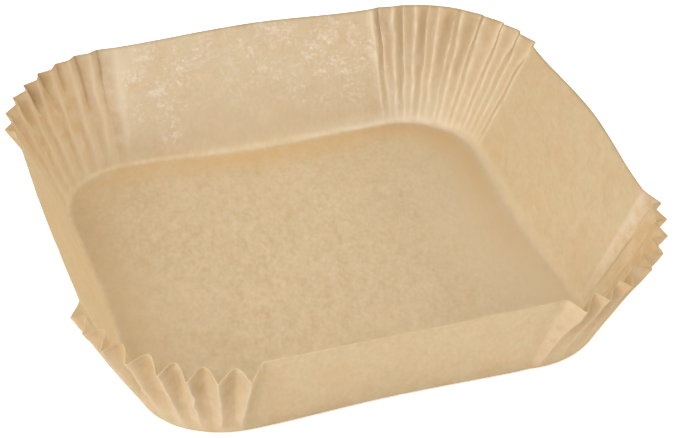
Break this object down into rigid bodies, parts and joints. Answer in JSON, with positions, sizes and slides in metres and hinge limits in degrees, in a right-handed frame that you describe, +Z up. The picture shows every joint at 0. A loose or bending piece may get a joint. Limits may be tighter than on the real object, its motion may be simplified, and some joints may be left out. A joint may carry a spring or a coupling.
{
  "type": "air fryer paper liner",
  "caption": "Square basket liner folded from one sheet of unbleached baking paper, with a flat base, sloping plain walls and pleated rounded corners.",
  "frame": {"origin": "centre of the base, on its underside", "axes": "+Z up out of the open top, +X through the right wall, -Y through the front wall"},
  "size_m": [0.2039, 0.2039, 0.0425],
  "materials": {
    "paper": "matte unbleached kraft baking paper"
  },
  "bodies": {
    "root": {"liner": "paper"}
  },
  "joints": []
}
